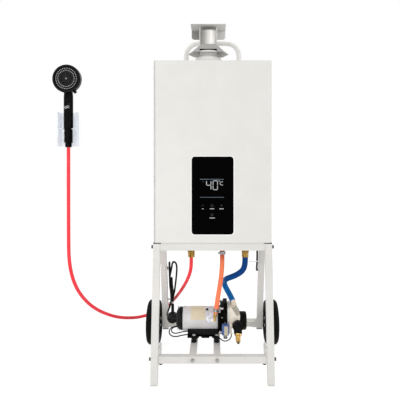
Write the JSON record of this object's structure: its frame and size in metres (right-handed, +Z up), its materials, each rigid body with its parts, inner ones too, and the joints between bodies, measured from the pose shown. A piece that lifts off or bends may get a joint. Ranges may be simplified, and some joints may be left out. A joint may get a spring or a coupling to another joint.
{
  "type": "portable propane water heater",
  "caption": "White gas water heater on a two-wheeled tube trolley, with flue and rain cap, water pump, red, blue and orange hoses, and a hand shower in its wall bracket.",
  "frame": {"origin": "on the floor, at the centre of the box round trolley and hand shower together, cords left out", "axes": "+X to the right as seen from the control panel's side, +Y to the back, away from the panel, +Z up"},
  "size_m": [0.7027, 0.4301, 1.0465],
  "materials": {
    "white_enamel": "satin",
    "grey_plastic": "matte",
    "bolt_steel": "satin",
    "black_plastic": "satin",
    "tyre_rubber": "matte",
    "panel_glass": "gloss",
    "inner_metal": "satin",
    "brass": "satin",
    "black_rubber": "matte",
    "grey_enamel": "satin",
    "flue_steel": "satin",
    "motor_steel": "satin",
    "cast_metal": "satin",
    "switch_plastic": "satin",
    "blue_hose": "satin",
    "orange_hose": "satin",
    "red_hose": "satin",
    "clamp_steel": "satin",
    "shower_plastic": "gloss",
    "white_nylon": "satin",
    "chrome_plastic": "gloss",
    "clear_plastic": "gloss"
  },
  "bodies": {
    "trolley": {"front_legs": "white_enamel", "rear_legs": "white_enamel", "top_frame": "white_enamel", "lower_cross_tubes": "white_enamel", "pump_rails": "white_enamel", "back_frame": "white_enamel", "corner_gussets": "white_enamel", "leg_brackets": "white_enamel", "leg_end_caps": "grey_plastic", "front_feet": "grey_plastic", "frame_bolts": "bolt_steel", "handle": "white_enamel", "stub_axles": "bolt_steel", "front_cover": "white_enamel", "rear_chassis": "white_enamel", "hanging_bracket": "white_enamel", "control_panel": "panel_glass", "heat_exchanger": "inner_metal", "burner": "inner_metal", "gas_valve": "inner_metal", "water_valve": "brass", "control_box": "black_plastic", "water_unions": "brass", "gas_inlet": "brass", "cord_grommet": "black_rubber", "flue_collar": "white_enamel", "flue_diverter": "grey_enamel", "flue_pipe": "flue_steel", "rain_cap": "grey_enamel", "motor_can": "motor_steel", "motor_end_cap": "black_plastic", "pump_base": "black_plastic", "pump_feet": "black_rubber", "pump_flange": "black_plastic", "valve_housing": "cast_metal", "pressure_switch": "switch_plastic", "port_fittings": "black_plastic", "inlet_nipple": "brass", "water_hose": "blue_hose", "gas_hose": "orange_hose", "gas_hose_tail": "brass", "hose_clamps": "clamp_steel", "shower_hose": "red_hose", "pump_cord": "black_rubber", "pump_cord_hank": "black_rubber", "pump_plug": "black_rubber", "heater_cord": "black_rubber", "heater_cord_hank": "black_rubber", "heater_plug": "black_rubber", "motor_lead": "black_rubber", "cable_ties": "white_nylon", "pump_bolts": "bolt_steel", "handset": "shower_plastic", "shower_bracket": "clear_plastic"},
    "right_wheel": {"wheel_right_hub": "black_plastic", "wheel_right_tyre": "tyre_rubber"},
    "left_wheel": {"wheel_left_hub": "black_plastic", "wheel_left_tyre": "tyre_rubber"},
    "spray_dial": {"spray_face": "shower_plastic"},
    "flow_slider": {"flow_button": "chrome_plastic"}
  },
  "joints": [
    {"name": "right_wheel_spin", "type": "hinge", "parent": "trolley", "child": "right_wheel", "pos_m": [0.32935, 0.12259, 0.075], "axis": [1, 0, 0], "continuous": true},
    {"name": "left_wheel_spin", "type": "hinge", "parent": "trolley", "child": "left_wheel", "pos_m": [-0.07465, 0.12259, 0.075], "axis": [1, 0, 0], "continuous": true},
    {"name": "spray_turn", "type": "hinge", "parent": "trolley", "child": "spray_dial", "pos_m": [-0.30935, -0.10759, 0.878], "axis": [0, 1, 0], "range_deg": [0, 66]},
    {"name": "flow_slide", "type": "slide", "parent": "trolley", "child": "flow_slider", "axis": [0, 0, 1], "range_m": [0, 0.008]}
  ]
}
